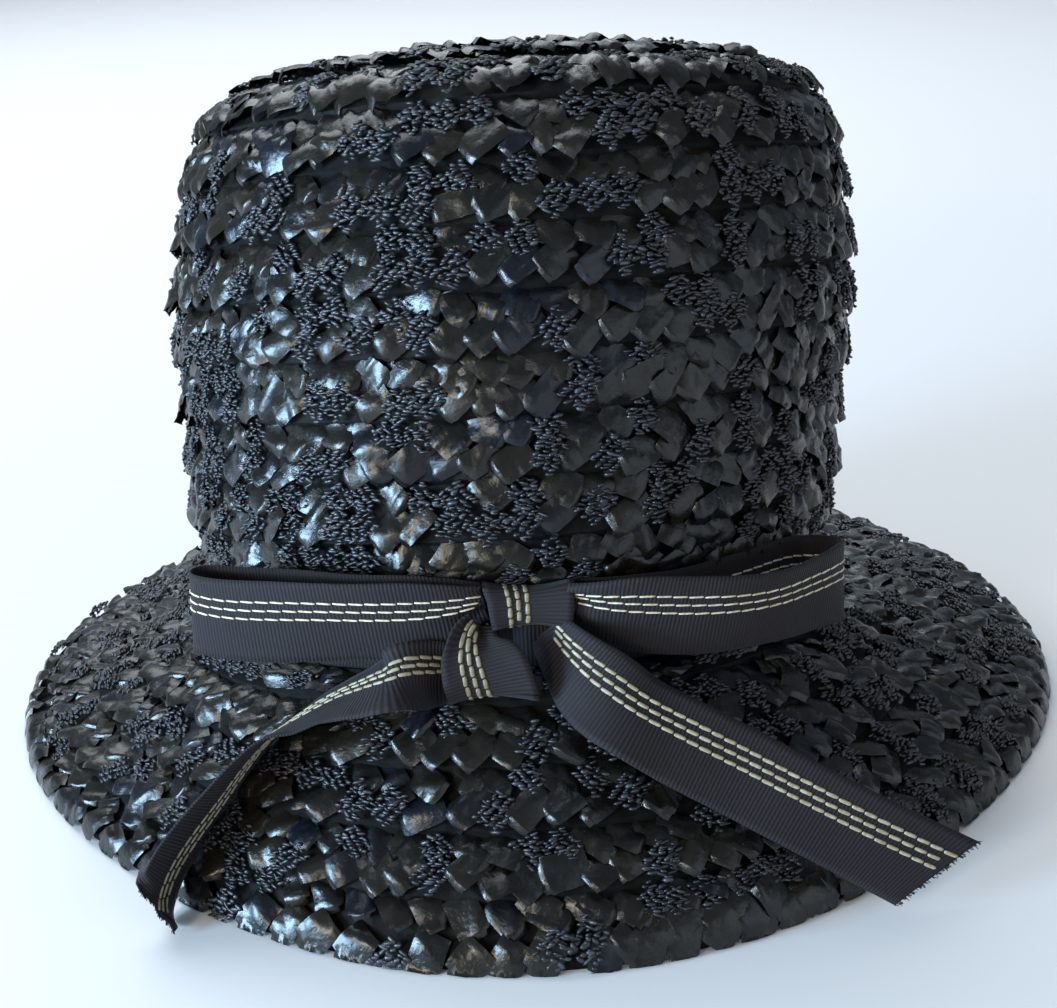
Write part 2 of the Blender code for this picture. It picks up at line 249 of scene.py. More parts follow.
def bump(tree, shader, source, strength, distance, under=None):
    """A bump from a height value, on top of another one where given."""
    node = tree.nodes.new("ShaderNodeBump")
    node.inputs["Strength"].default_value = strength
    node.inputs["Distance"].default_value = distance
    tree.links.new(source, node.inputs["Height"])
    if under is not None:
        tree.links.new(under, node.inputs["Normal"])
    tree.links.new(node.outputs["Normal"], shader.inputs["Normal"])
    return node.outputs["Normal"]


def straw_finish(settings):
    """Glossy dark flat straw: tone changes from straw to straw, with fine grain along it."""
    finish, tree, shader = node_finish("dark_straw")
    tone = add_node(tree, "ShaderNodeAttribute", attribute_name="tone")
    place = add_node(tree, "ShaderNodeTexCoord")
    dark = tuple(settings.straw_colour)
    olive = (dark[0] * 2.5, dark[1] * 2.1, dark[2] * 1.5)
    blue = (dark[0] * 1.0, dark[1] * 1.3, dark[2] * 2.4)
    colour = ramp(tree, tone.outputs["Fac"], ((0.0, dark), (0.4, olive), (0.75, dark), (1.0, blue)))
    tree.links.new(colour, shader.inputs["Base Color"])
    patches = noise(tree, place, Scale=260.0, Detail=3.0, Roughness=0.6)
    tree.links.new(spread(tree, patches, 0.10, 0.42), shader.inputs["Roughness"])
    stretch = add_node(tree, "ShaderNodeMapping", Scale=(2.0, 26.0, 1.0))
    grain = add_node(tree, "ShaderNodeTexNoise", Scale=1.6, Detail=4.0, Roughness=0.65)
    tree.links.new(place.outputs["UV"], stretch.inputs["Vector"])
    tree.links.new(stretch.outputs["Vector"], grain.inputs["Vector"])
    under = bump(tree, shader, grain.outputs["Fac"], 0.35, 0.0002)
    dents = noise(tree, place, Scale=420.0, Detail=2.0)
    bump(tree, shader, dents, 0.5, 0.0006, under)
    shader.inputs["Specular IOR Level"].default_value = 0.36
    shader.inputs["Coat Weight"].default_value = 0.15
    shader.inputs["Coat Roughness"].default_value = 0.15
    return finish


def cord_finish(settings):
    """Nubbed cord: lighter and bluer than the straw, its knots from dark to pale."""
    finish, tree, shader = node_finish("nubbed_cord")
    tone = add_node(tree, "ShaderNodeAttribute", attribute_name="tone")
    place = add_node(tree, "ShaderNodeTexCoord")
    dark = tuple(settings.cord_colour)
    pale = tuple(value * 3.4 for value in dark)
    colour = ramp(tree, tone.outputs["Fac"], ((0.0, dark), (0.45, dark), (1.0, pale)))
    tree.links.new(colour, shader.inputs["Base Color"])
    fuzz = noise(tree, place, Scale=1500.0, Detail=3.0)
    tree.links.new(spread(tree, fuzz, 0.3, 0.55), shader.inputs["Roughness"])
    bump(tree, shader, fuzz, 0.4, 0.0003)
    shader.inputs["Specular IOR Level"].default_value = 0.65
    return finish


def lining_finish(settings):
    """The inner side and the ground between the straws: dark, with a patchy weave."""
    finish, tree, shader = node_finish("inner_plait")
    place = add_node(tree, "ShaderNodeTexCoord")
    weave = add_node(tree, "ShaderNodeTexVoronoi", Scale=150.0, Randomness=0.75)
    tree.links.new(place.outputs["Object"], weave.inputs["Vector"])
    dark = tuple(settings.straw_colour)
    brown = (dark[0] * 1.6, dark[1] * 1.5, dark[2] * 1.2)
    colour = ramp(tree, weave.outputs["Distance"], ((0.0, brown), (0.6, dark)))
    tree.links.new(colour, shader.inputs["Base Color"])
    fibre = noise(tree, place, Scale=900.0, Detail=4.0)
    tree.links.new(spread(tree, fibre, 0.55, 0.85), shader.inputs["Roughness"])
    under = bump(tree, shader, fibre, 0.3, 0.0003)
    bump(tree, shader, weave.outputs["Distance"], 0.8, 0.0012, under)
    shader.inputs["Specular IOR Level"].default_value = 0.12
    return finish


def grosgrain_finish(settings):
    """Matt ribbon with close cross ribs and a little fuzz; its map runs in millimetres along the ribbon."""
    finish, tree, shader = node_finish("grosgrain_ribbon")
    place = add_node(tree, "ShaderNodeTexCoord")
    parts = add_node(tree, "ShaderNodeSeparateXYZ")
    tree.links.new(place.outputs["UV"], parts.inputs["Vector"])
    turn = add_node(tree, "ShaderNodeMath", operation="MULTIPLY")
    tree.links.new(parts.outputs["X"], turn.inputs[0])
    turn.inputs[1].default_value = 2 * math.pi / (settings.rib_pitch / MM)
    wave = add_node(tree, "ShaderNodeMath", operation="SINE")
    tree.links.new(turn.outputs[0], wave.inputs[0])
    ribs = spread(tree, wave.outputs[0], 0.0, 1.0)
    ribs.node.inputs["From Min"].default_value = -1.0
    fuzz = noise(tree, place, Scale=2600.0, Detail=3.0)
    patches = noise(tree, place, Scale=60.0, Detail=3.0)
    dark = tuple(settings.ribbon_colour)
    # The rib grooves are painted darker and the rib crests paler: painted shade and painted highlight on the
    # ribs
    rib_groove_shade = tuple(value * 0.68 for value in dark)
    pale = (dark[0] * 1.25, dark[1] * 1.22, dark[2] * 1.25)
    body = ramp(tree, ribs, ((0.0, rib_groove_shade), (0.55, dark), (1.0, pale)))
    worn = add_node(tree, "ShaderNodeMix", data_type="RGBA", blend_type="MULTIPLY")
    worn.inputs["Factor"].default_value = 0.5
    tree.links.new(body, worn.inputs["A"])
    shade = ramp(tree, patches, ((0.25, (0.6, 0.6, 0.62)), (0.75, (1.25, 1.2, 1.15))))
    tree.links.new(shade, worn.inputs["B"])
    tree.links.new(worn.outputs["Result"], shader.inputs["Base Color"])
    tree.links.new(spread(tree, fuzz, 0.6, 0.85), shader.inputs["Roughness"])
    under = bump(tree, shader, fuzz, 0.25, 0.0002)
    bump(tree, shader, ribs, 0.42, 0.00035, under)
    shader.inputs["Specular IOR Level"].default_value = 0.2
    shader.inputs["Sheen Weight"].default_value = 0.05
    shader.inputs["Sheen Roughness"].default_value = 0.4
    return finish


def thread_finish(settings):
    """Cream thread with a twist, browner and darker where its tone is higher, which is painted shade."""
    finish, tree, shader = node_finish("cream_thread")
    place = add_node(tree, "ShaderNodeTexCoord")
    tone = add_node(tree, "ShaderNodeAttribute", attribute_name="tone")
    twist = noise(tree, place, Scale=900.0, Detail=3.0)
    cream = tuple(settings.thread_colour)
    gold = (cream[0] * 0.72, cream[1] * 0.62, cream[2] * 0.45)
    pale = ramp(tree, twist, ((0.35, gold), (0.6, cream)))
    thread_shade = add_node(tree, "ShaderNodeMix", data_type="RGBA", blend_type="MULTIPLY")
    tree.links.new(pale, thread_shade.inputs["A"])
    # A higher tone paints the thread browner and darker: painted shade
    browner = ramp(tree, tone.outputs["Fac"], ((0.0, (1.0, 1.0, 1.0)), (1.0, (0.36, 0.33, 0.27))))
    tree.links.new(browner, thread_shade.inputs["B"])
    thread_shade.inputs["Factor"].default_value = 1.0
    tree.links.new(thread_shade.outputs["Result"], shader.inputs["Base Color"])
    bump(tree, shader, twist, 0.3, 0.0003)
    shader.inputs["Roughness"].default_value = 0.5
    return finish


def paper_finish(name, colour, rough):
    """The stage's plain matt surface."""
    finish, tree, shader = node_finish(name)
    shader.inputs["Base Color"].default_value = (*colour, 1.0)
    shader.inputs["Roughness"].default_value = rough
    return finish


def finish_named(name, make, settings):
    """A finish that is made once and then shared."""
    return bpy.data.materials.get(name) or make(settings)


def deselect_all():
    """Leave edit mode and clear the selection."""
    if bpy.context.object and bpy.context.object.mode != "OBJECT":
        bpy.ops.object.mode_set(mode="OBJECT")
    bpy.ops.object.select_all(action="DESELECT")


def edit_whole(step, **settings):
    """Select the whole active mesh in edit mode and run one operator on it."""
    bpy.ops.object.mode_set(mode="EDIT")
    bpy.ops.mesh.select_all(action="SELECT")
    step(**settings)
    bpy.ops.object.mode_set(mode="OBJECT")


def move_points(item, test, offset):
    """Move the points of a mesh that pass a test, in edit mode."""
    for point in item.data.vertices:
        point.select = test(point.co)
    for edge in item.data.edges:
        edge.select = False
    for face in item.data.polygons:
        face.select = False
    bpy.ops.object.mode_set(mode="EDIT")
    bpy.ops.transform.translate(value=offset)
    bpy.ops.object.mode_set(mode="OBJECT")


def take_pattern(item):
    """A modelled pattern's points and faces, after which its object is removed."""
    count = len(item.data.vertices)
    points = np.empty(count * 3)
    item.data.vertices.foreach_get("co", points)
    faces = [tuple(face.vertices) for face in item.data.polygons]
    bpy.data.objects.remove(item, do_unlink=True)
    return points.reshape(count, 3), faces


def straw_pattern(length, width, peak, fold, corner):
    """A flat straw along X, in millimetres: high in its middle and rolled down at its folded end.

    The corners of the fold are cut by a share of the straw.
    """
    deselect_all()
    bpy.ops.mesh.primitive_grid_add(x_subdivisions=9, y_subdivisions=5, size=1.0)
    item = bpy.context.object
    edit_whole(bpy.ops.transform.resize, value=(length, width, 1.0))
    end = length / 2
    move_points(item, lambda co: abs(co.y) < width * 0.35, (0.0, 0.0, peak * 0.4))
    move_points(item, lambda co: abs(co.y) < width * 0.15, (0.0, 0.0, peak * 0.15))
    move_points(item, lambda co: co.x > -end * 0.8, (0.0, 0.0, peak * 0.3))
    move_points(item, lambda co: co.x > -end * 0.5, (0.0, 0.0, peak * 0.2))
    move_points(item, lambda co: co.x > end * 0.2, (0.0, 0.0, peak * 0.1))
    move_points(item, lambda co: end * 0.5 < co.x < end * 0.6, (end * 0.14, 0.0, 0.0))
    move_points(item, lambda co: end * 0.76 < co.x < end * 0.8, (end * 0.05, 0.0, -fold * 0.12))
    move_points(item, lambda co: co.x > end * 0.98, (0.0, 0.0, -fold))
    for side in (1, -1):
        move_points(item, lambda co: co.x > end * 0.7 and co.y * side > width * 0.45,
                    (-end * corner, -width * corner * side, -fold * 0.15))
    return take_pattern(item)


def nub_pattern(long, thick):
    """One knot of the nubbed cord, in millimetres."""
    deselect_all()
    bpy.ops.mesh.primitive_uv_sphere_add(segments=4, ring_count=2, radius=0.5)
    item = bpy.context.object
    edit_whole(bpy.ops.transform.resize, value=(thick, thick, long))
    points, faces = take_pattern(item)
    return points[:, (2, 0, 1)], faces


def smooth_rows(rows, steps):
    """Rows of numbers joined by a Catmull-Rom curve, with steps points to a span."""
    rows = [np.array(row, float) for row in rows]
    result = []
    for k in range(len(rows) - 1):
        a = rows[max(k - 1, 0)]
        b = rows[k]
        c = rows[k + 1]
        d = rows[min(k + 2, len(rows) - 1)]
        for step in range(steps):
            t = step / steps
            result.append(0.5 * (2 * b + (c - a) * t + (2 * a - 5 * b + 4 * c - d) * t * t
                                 + (3 * b - a - 3 * c + d) * t ** 3))
    result.append(rows[-1])
    return np.array(result)


def crown_points(angle, radius, height, proud=0.0):
    """Points of the crown for angles clockwise from the back, half widths, heights and offsets."""
    across = (radius + proud) * np.sin(angle) + DRIFT * height
    along = (OVAL * radius + proud) * np.cos(angle)
    base = np.array(FOOT)
    return (base + np.stack([across, 0 * across, 0 * across], axis=-1)
            + along[..., None] * ROW_BACK + np.asarray(height)[..., None] * ROW_UP)


class Outline:
    """The crown's outline by its length from the middle of the tip."""

    def __init__(self):
        self.points = smooth_rows(CROWN_OUTLINE, 6)[::-1]
        steps = np.diff(self.points, axis=0)
        self.lengths = np.concatenate([[0.0], np.cumsum(np.hypot(steps[:, 0], steps[:, 1]))])
        self.total = self.lengths[-1]

    def point(self, length):
        """Height and half width."""
        return np.array([np.interp(length, self.lengths, column) for column in self.points.T])

    def at(self, length):
        """Height, half width and the outward normal."""
        near = 0.6
        height, radius = self.point(length)
        rise, wide = self.point(length + near) - self.point(length - near)
        size = np.hypot(rise, wide)
        return height, radius, -rise / size, wide / size


class Rows:
    """One spiral of rows: the edges and the curve of each row by the length run along the spiral."""

    def __init__(self, inner, middle, outer, shape=None):
        self.shape = shape
        self.inner = inner
        self.outer = outer
        self.bulge = 4 * middle - 2 * (inner + outer)
        steps = np.linalg.norm(np.diff(middle, axis=0), axis=1)
        self.run = np.concatenate([[0.0], np.cumsum(steps)])
        around = np.gradient(middle, axis=0)
        normal = np.cross(around, outer - inner)
        normal /= np.maximum(np.linalg.norm(normal, axis=1), 1e-9)[:, None]
        self.normal = normal

    def lay(self, points):
        """Place points given as run along the row, share across it and height off it."""
        run = points[..., 0]
        share = points[..., 1]
        result = np.empty(points.shape)
        for k in range(3):
            low = np.interp(run, self.run, self.inner[:, k])
            high = np.interp(run, self.run, self.outer[:, k])
            full = np.interp(run, self.run, self.bulge[:, k])
            off = np.interp(run, self.run, self.normal[:, k])
            result[..., k] = low + (high - low) * share + full * share * (1 - share) + off * points[..., 2]
        return self.shape(result) if self.shape else result


def crown_rows():
    """The crown's spiral, from the middle of the tip down to the band."""
    outline = Outline()
    last = outline.total - BAND_TOP - 0.6
    turns = (last + ROW_PITCH * 0.55 - FIRST_EDGE) / ROW_PITCH
    angles = np.arange(0.0, turns * 2 * math.pi, math.radians(2.0))
    edge = FIRST_EDGE + ROW_PITCH * angles / (2 * math.pi)

    def place(length, lift):
        length = np.clip(length, 0.0, last)
        height, radius, out, up = outline.at(length)
        return crown_points(angles, np.maximum(radius + lift * out, 0.0), height + lift * up)

    middle = place(edge - ROW_PITCH / 2, 0.0)
    return Rows(place(edge - ROW_PITCH, -EDGE_LIFT), middle, place(edge, EDGE_LIFT)), edge


def over_rim(points):
    """Points past the rim reach a little beyond it and curl down over its edge."""
    turn = np.arctan2(points[..., 0], points[..., 1])
    radius = np.hypot(points[..., 0], points[..., 1])
    rim = RIM_RADIUS + RIM_CORNER * np.cos(4 * turn) - 0.6
    past = np.maximum(radius - rim, 0.0)
    reach = rim + RIM_REACH * np.tanh(past / RIM_REACH)
    scale = np.where(past > 0, reach / np.maximum(radius, 1e-6), 1.0)
    height = np.maximum(points[..., 2] - 0.6 * past ** 1.25, np.clip(points[..., 2], 0.15, 0.4))
    return np.stack([points[..., 0] * scale, points[..., 1] * scale, height], axis=-1)


def brim_rows():
    """The brim's spiral, from the band out to the rim."""
    width = BRIM_ROWS * ROW_PITCH
    angles = np.arange(math.radians(30.0), (BRIM_ROWS + 1.0) * 2 * math.pi, math.radians(1.5))
    edge = np.minimum(ROW_PITCH * angles / (2 * math.pi), width)

    def flat(turn, share):
        root = crown_points(turn, np.full(turn.shape, FOOT_RADIUS), np.zeros(turn.shape))
        radius = RIM_RADIUS + RIM_CORNER * np.cos(4 * turn)
        rim = np.stack([radius * np.sin(turn), radius * np.cos(turn), np.full(turn.shape, RIM_TOP)], axis=-1)
        return root + (rim - root) * share[:, None]

    def place(length, lift):
        share = np.clip(length, 0.0, width) / width
        small = 0.001
        around = flat(angles + small, share) - flat(angles - small, share)
        out = flat(angles, share + small) - flat(angles, share - small)
        normal = np.cross(around, out)
        normal /= np.linalg.norm(normal, axis=1)[:, None]
        normal *= np.sign(normal[:, 2])[:, None]
        return flat(angles, share) + normal * (BRIM_BULGE * 4 * share * (1 - share) + lift)[:, None]

    inner = place(edge - ROW_PITCH, -EDGE_LIFT)
    outer = place(edge, EDGE_LIFT)
    return Rows(inner, (inner + outer) / 2, outer, over_rim), edge


class Cloth:
    """Many small shapes gathered into one mesh, each with a tone, a map and a finish."""

    def __init__(self):
        self.points = []
        self.faces = []
        self.maps = []
        self.tones = []
        self.slots = []
        self.count = 0

    def add(self, points, faces, maps, tone, slot):
        """Copies of a shape: points (copies, n, 3), its faces, map (n, 2), and a tone for each copy."""
        copies, size = points.shape[:2]
        self.points.append(points.reshape(-1, 3))
        self.maps.append(np.broadcast_to(maps, (copies, size, 2)).reshape(-1, 2))
        self.tones.append(np.repeat(tone, size))
        for length in sorted({len(face) for face in faces}):
            some = np.array([face for face in faces if len(face) == length])
            shifted = some[None] + (self.count + size * np.arange(copies))[:, None, None]
            self.faces.append(shifted.reshape(-1, length))
            self.slots.append(np.full(copies * len(some), slot))
        self.count += copies * size

    def finish(self, name, finishes, slot):
        """Write the mesh as one piece that rides on the hat."""
        points = np.concatenate(self.points) * MM
        sizes = np.concatenate([np.full(len(block), block.shape[1]) for block in self.faces])
        corners = np.concatenate([block.reshape(-1) for block in self.faces])
        data = bpy.data.meshes.new(name)
        data.vertices.add(len(points))
        data.vertices.foreach_set("co", points.reshape(-1))
        data.loops.add(len(corners))
        data.loops.foreach_set("vertex_index", corners)
        data.polygons.add(len(sizes))
        data.polygons.foreach_set("loop_start", np.concatenate([[0], np.cumsum(sizes)[:-1]]))
        data.polygons.foreach_set("material_index", np.concatenate(self.slots))
        data.update(calc_edges=True)
        data.validate()
        layer = data.uv_layers.new(name="UVMap")
        layer.data.foreach_set("uv", np.concatenate(self.maps)[corners].reshape(-1))
        tone = data.attributes.new("tone", "FLOAT", "POINT")
        tone.data.foreach_set("value", np.concatenate(self.tones))
        data.shade_smooth()
        for finish in finishes:
            data.materials.append(finish)
        item = bpy.data.objects.new(name, data)
        bpy.context.collection.objects.link(item)
        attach(item, "root")
        return item


def turned(points, angle):
    """Points turned about Z by an angle for each copy."""
    cos = np.cos(angle)[:, None]
    sin = np.sin(angle)[:, None]
    x = points[..., 0] * cos - points[..., 1] * sin
    y = points[..., 0] * sin + points[..., 1] * cos
    return np.stack([x, y, points[..., 2]], axis=-1)


def leaned(points, roll, pitch):
    """Points tipped about X by roll and about Y by pitch, for each copy."""
    height = points[..., 2] + points[..., 1] * roll[:, None] + points[..., 0] * pitch[:, None]
    return np.stack([points[..., 0], points[..., 1], height], axis=-1)


def crumpled(points, rng, depth):
    """Points of each copy raised and sunk by two crossing waves of its own."""
    copies = len(points)
    raised = points.copy()
    for shortest, longest, share in ((5.0, 8.0, 1.0), (2.8, 4.2, 0.5)):
        course = rng.uniform(0, math.pi, copies)[:, None]
        length = rng.uniform(shortest, longest, copies)[:, None]
        phase = rng.uniform(0, 2 * math.pi, copies)[:, None]
        size = depth * share * rng.uniform(0.3, 1.0, copies)[:, None]
        along = points[..., 0] * np.cos(course) + points[..., 1] * np.sin(course)
        raised[..., 2] += size * np.sin(2 * math.pi * along / length + phase)
    return raised


def spaced(end, cell, rng):
    """Starts of cells, a little unevenly spaced, up to an end."""
    margin = 3.0
    starts = margin + np.cumsum(cell * rng.uniform(0.86, 1.14, int(end / cell)))
    return starts[starts < end - margin]


def plait(cloth, rows, starts, slant, rng, patterns, upper=OVER_CORDS, shift=0.0):
    """Lay two layers of cells, each a straw or a bundle of cords, at the given runs along the rows."""
    straw, straw_faces, nub, nub_faces = patterns
    straw_map = straw[:, :2] * 0.1
    nub_map = nub[:, :2] * 0.1
    crumple = 0.58
    strands = 4
    strand_gap = 1.7
    step = 0.92

    def put(spots, faces, maps, place, angle, tilt, tone, slot):
        """Lay copies of a shape, each tipped and turned at its own place."""
        spots = turned(leaned(spots, *tilt), angle) + np.stack(place, axis=-1)[:, None, :]
        spots[..., 1] = 0.5 + spots[..., 1] / ROW_PITCH
        cloth.add(rows.lay(spots), faces, maps, tone, slot)

    for over, cords in ((False, UNDER_CORDS), (True, upper)):
        flat = rng.uniform(0, 1, len(starts)) >= cords
        count = int(flat.sum())
        base = 0.95 if over else 0.35
        turn = (math.pi / 2 - slant) if over else (math.pi / 2 + slant)
        middle = 3.2 + shift if over else -3.4
        size = np.stack([rng.uniform(0.88, 1.14, count), rng.uniform(0.85, 1.1, count),
                         rng.uniform(0.7, 1.3, count)], axis=-1)
        put(crumpled(straw[None] * size[:, None, :], rng, crumple), straw_faces, straw_map,
            (starts[flat] + rng.normal(0, 0.6, count),
             middle + rng.normal(0, 0.7, count),
             base + rng.uniform(-0.15, 0.45, count)),
            turn + rng.normal(0, 0.16, count),
            (rng.normal(0.03 if over else -0.14, 0.16, count), rng.normal(0.08, 0.08, count)),
            rng.uniform(0, 1, count), 0)
        lay = math.radians(52.0 if over else 128.0)
        knots = 9 if over else 8
        count = int((~flat).sum())
        slide = rng.normal(2.9 + shift if over else -3.2, 0.6, count)
        sway = rng.normal(0, 0.12, count)
        for strand in range(strands):
            side = (strand - (strands - 1) / 2) * strand_gap
            for knot in range(knots):
                along = (knot - (knots - 1) / 2) * step + (0.5 * step if strand % 2 else 0.0)
                bend = lay + sway
                run = starts[~flat] + along * np.cos(bend) - side * math.sin(lay)
                across = slide + along * np.sin(bend) + side * math.cos(lay)
                arch = 1.0 + 0.9 * math.cos(side * 0.42) * math.cos(along * 0.17)
                size = rng.uniform(0.6, 1.35, (count, 3))
                put(nub[None] * size[:, None, :], nub_faces, nub_map,
                    (run + rng.normal(0, 0.26, count),
                     across + rng.normal(0, 0.2, count),
                     base + arch + rng.normal(0, 0.24, count)),
                    rng.normal(0.0, 0.3, count),
                    (rng.normal(0, 0.1, count), rng.normal(0, 0.2, count)),
                    rng.uniform(0, 1, count) ** 2, 1)


class HAT_PG_settings(bpy.types.PropertyGroup):
    """Sizes and colours of the hat."""

    cell: bpy.props.FloatProperty(
        name="Straw spacing", description="Distance from one straw of a row to the next",
        default=0.0075, min=0.004, max=0.02, unit="LENGTH")
    scallop: bpy.props.FloatProperty(
        name="Scallop spacing", description="Distance from one scallop of the rim to the next",
        default=0.0088, min=0.005, max=0.02, unit="LENGTH")
    slant: bpy.props.FloatProperty(
        name="Straw slant", description="How far the straws lean from straight across a row",
        default=math.radians(54.0), subtype="ANGLE")
    rib_pitch: bpy.props.FloatProperty(
        name="Rib spacing", description="Distance from one cross rib of the ribbon to the next",
        default=0.00095, unit="LENGTH")
    stitch_length: bpy.props.FloatProperty(
        name="Stitch length", description="Length of one stitch on the ribbon",
        default=0.0040, unit="LENGTH")
    ribbon_thickness: bpy.props.FloatProperty(
        name="Ribbon thickness", description="Thickness of the grosgrain ribbon",
        default=0.0006, unit="LENGTH")
    seed: bpy.props.IntProperty(
        name="Seed", description="Changes how unevenly the straws lie", default=5, min=0)
    straw_colour: bpy.props.FloatVectorProperty(
        name="Straw", description="Colour of the flat straw",
        default=(0.0047, 0.0047, 0.0046), subtype="COLOR")
    cord_colour: bpy.props.FloatVectorProperty(
        name="Cord", description="Colour of the nubbed cord",
        default=(0.0145, 0.0150, 0.0195), subtype="COLOR")
    ribbon_colour: bpy.props.FloatVectorProperty(
        name="Ribbon", description="Colour of the ribbon",
        default=(0.0182, 0.0152, 0.0178), subtype="COLOR")
    thread_colour: bpy.props.FloatVectorProperty(
        name="Thread", description="Colour of the stitching",
        default=(0.72, 0.67, 0.53), subtype="COLOR")
    floor_colour: bpy.props.FloatVectorProperty(
        name="Floor", description="Colour of the floor and backdrop",
        default=(0.80, 0.79, 0.80), subtype="COLOR")


class HAT_OT_foundation(bpy.types.Operator):
    """Give the solid crown and brim the look of the plait's inner side."""

    bl_idname = "hat.foundation"
    bl_label = "Finish the foundation"

    def execute(self, context):
        finish = finish_named("inner_plait", lining_finish, context.scene.hat)
        for name in ("crown", "brim"):
            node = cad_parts[name]
            node.data.materials.clear()
            node.data.materials.append(finish)
        return {"FINISHED"}


class HAT_OT_plait(bpy.types.Operator):
    """Sew the plait onto the crown and the brim, one spiral each."""

    bl_idname = "hat.plait"
    bl_label = "Sew the plait"

    def execute(self, context):
        settings = context.scene.hat
        rng = np.random.default_rng(settings.seed)
        nub = nub_pattern(long=2.3, thick=1.05)
        straws = (*straw_pattern(length=10.6, width=7.5, peak=1.2, fold=1.4, corner=0.05), *nub)
        scallops = (*straw_pattern(length=9.8, width=7.6, peak=1.1, fold=1.2, corner=0.14), *nub)
        finishes = (finish_named("dark_straw", straw_finish, settings),
                    finish_named("nubbed_cord", cord_finish, settings))
        cell = settings.cell / MM

        def sew(name, rows, starts, slant, shapes, *laying):
            """Lay one piece of plait."""
            cloth = Cloth()
            plait(cloth, rows, starts, slant, rng, shapes, *laying)
            cloth.finish(name, finishes, "straw_braid")

        crown, crown_edge = crown_rows()
        starts = spaced(crown.run[-1], cell, rng)
        lengths = np.interp(starts, crown.run, crown_edge)
        tip = lengths < TIP_END
        upper = ~tip & (lengths < WAIST)
        sew("plait_tip", crown, starts[tip], settings.slant, straws)
        sew("plait_upper_side", crown, starts[upper], settings.slant, straws)
        sew("plait_lower_side", crown, starts[~tip & ~upper], settings.slant, straws)
        brim, brim_edge = brim_rows()
        starts = spaced(brim.run[-1], cell, rng)
        edges = np.interp(starts, brim.run, brim_edge)
        rim_edge = ROW_PITCH * BRIM_ROWS - 0.01
        inner = edges < ROW_PITCH * INNER_BRIM_ROWS
        sew("plait_inner_brim", brim, starts[inner], settings.slant, straws)
        sew("plait_outer_brim", brim, starts[~inner & (edges < rim_edge)], settings.slant, straws)
        begin = brim.run[np.searchsorted(brim_edge, rim_edge)]
        around = np.arange(begin, brim.run[-1] - 4.0, settings.scallop / MM)
        sew("plait_rim", brim, around, settings.slant * 0.65, scallops, RIM_CORDS, 2.6)
        return {"FINISHED"}


def ribbon_frames(sections, steps):
    """Middle, directions across, off and along the ribbon, width and length so far at each station."""
    rows = smooth_rows(sections, steps)
    middle = rows[:, 0:3]
    ahead = np.gradient(middle, axis=0)
    ahead /= np.linalg.norm(ahead, axis=1)[:, None]
    side = rows[:, 3:6]
    side = side - ahead * np.sum(side * ahead, axis=1)[:, None]
    side /= np.linalg.norm(side, axis=1)[:, None]
    face = np.cross(ahead, side)
    spans = np.linalg.norm(np.diff(middle, axis=0), axis=1)
    run = np.concatenate([[0.0], np.cumsum(spans)])
    return middle, side, face, ahead, rows[:, 6], run


class Ribbon:
    """A ribbon's surface through its sections: gathered where narrow, rippled, and full across."""

    def __init__(self, sections, steps=8, gather=0.0, ripple=0.0, belly=0.0, slant=0.0):
        self.middle, self.side, self.face, self.ahead, self.width, self.run = ribbon_frames(sections, steps)
        self.gather = gather
        self.ripple = ripple
        self.belly = belly
        self.slant = slant

    def line(self, share):
        """Points along the ribbon at a share of its width from the stitched edge."""
        fold = self.gather * (RIBBON_WIDTH - self.width) / 10.0 * math.sin(share * 4 * math.pi)
        fold = fold + self.ripple * np.sin(self.run / 6.5 + 2.5 * share) * (0.35 + abs(share - 0.5))
        fold = fold + self.belly * (1 - (2 * share - 1) ** 2)
        skew = self.slant * (1 - 2 * share) * np.linspace(0, 1, len(self.run)) ** 6
        return (self.middle + self.side * ((0.5 - share) * self.width)[:, None]
                + self.ahead * skew[:, None] + self.face * fold[:, None])

    def flat(self):
        """Cut width and length, and area, in metres."""
        area = float(np.sum((self.width[1:] + self.width[:-1]) / 2 * np.diff(self.run))) * MM * MM
        return (float(self.width.max()) * MM, float(self.run[-1]) * MM), area


def ribbon_piece(name, ribbon, settings, across=12, frayed=False, bold=0.0):
    """A thin ribbon sheet with its stitching, which is shorter and broader where it is bold, and browner
    there as painted shade.
    """
    shares = np.linspace(0.0, 1.0, across + 1)
    points = np.stack([ribbon.line(share) for share in shares], axis=1)
    count = len(ribbon.run)
    maps = np.stack(np.broadcast_arrays(ribbon.run[:, None], shares[None, :]), axis=-1)
    grid = np.arange(count * (across + 1)).reshape(count, across + 1)
    faces = [(int(grid[i, j]), int(grid[i, j + 1]), int(grid[i + 1, j + 1]), int(grid[i + 1, j]))
             for i in range(count - 1) for j in range(across)]
    cloth = Cloth()
    cloth.add(points.reshape(1, -1, 3), faces, maps.reshape(-1, 2), np.zeros(1), 0)
    item = cloth.finish(name, (finish_named("grosgrain_ribbon", grosgrain_finish, settings),), "grosgrain")
    deselect_all()
    item.select_set(True)
    bpy.context.view_layer.objects.active = item
    solid = item.modifiers.new("thickness", "SOLIDIFY")
    solid.thickness = settings.ribbon_thickness
    solid.offset = 0.0
    bpy.ops.object.modifier_apply(modifier=solid.name)
    thread = stitch_piece(name + "_stitches", ribbon, settings, frayed, bold)
    return item, thread


def bead_pattern():
    """One long bead along X, one unit long and thick."""
    deselect_all()
    bpy.ops.mesh.primitive_uv_sphere_add(segments=6, ring_count=6, radius=0.5)
    item = bpy.context.object
    edit_whole(bpy.ops.transform.rotate, value=math.pi / 2, orient_axis="Y", center_override=(0.0, 0.0, 0.0))
    bead, faces = take_pattern(item)
    bead[:, 0] = np.sign(bead[:, 0]) * np.abs(bead[:, 0] * 2) ** 0.6 / 2
    size = np.maximum(np.hypot(bead[:, 1], bead[:, 2]), 1e-6)
    bead[:, 1:] *= np.where(size > 0.01, (size * 2) ** -0.55, 1.0)[:, None]
    return bead, faces


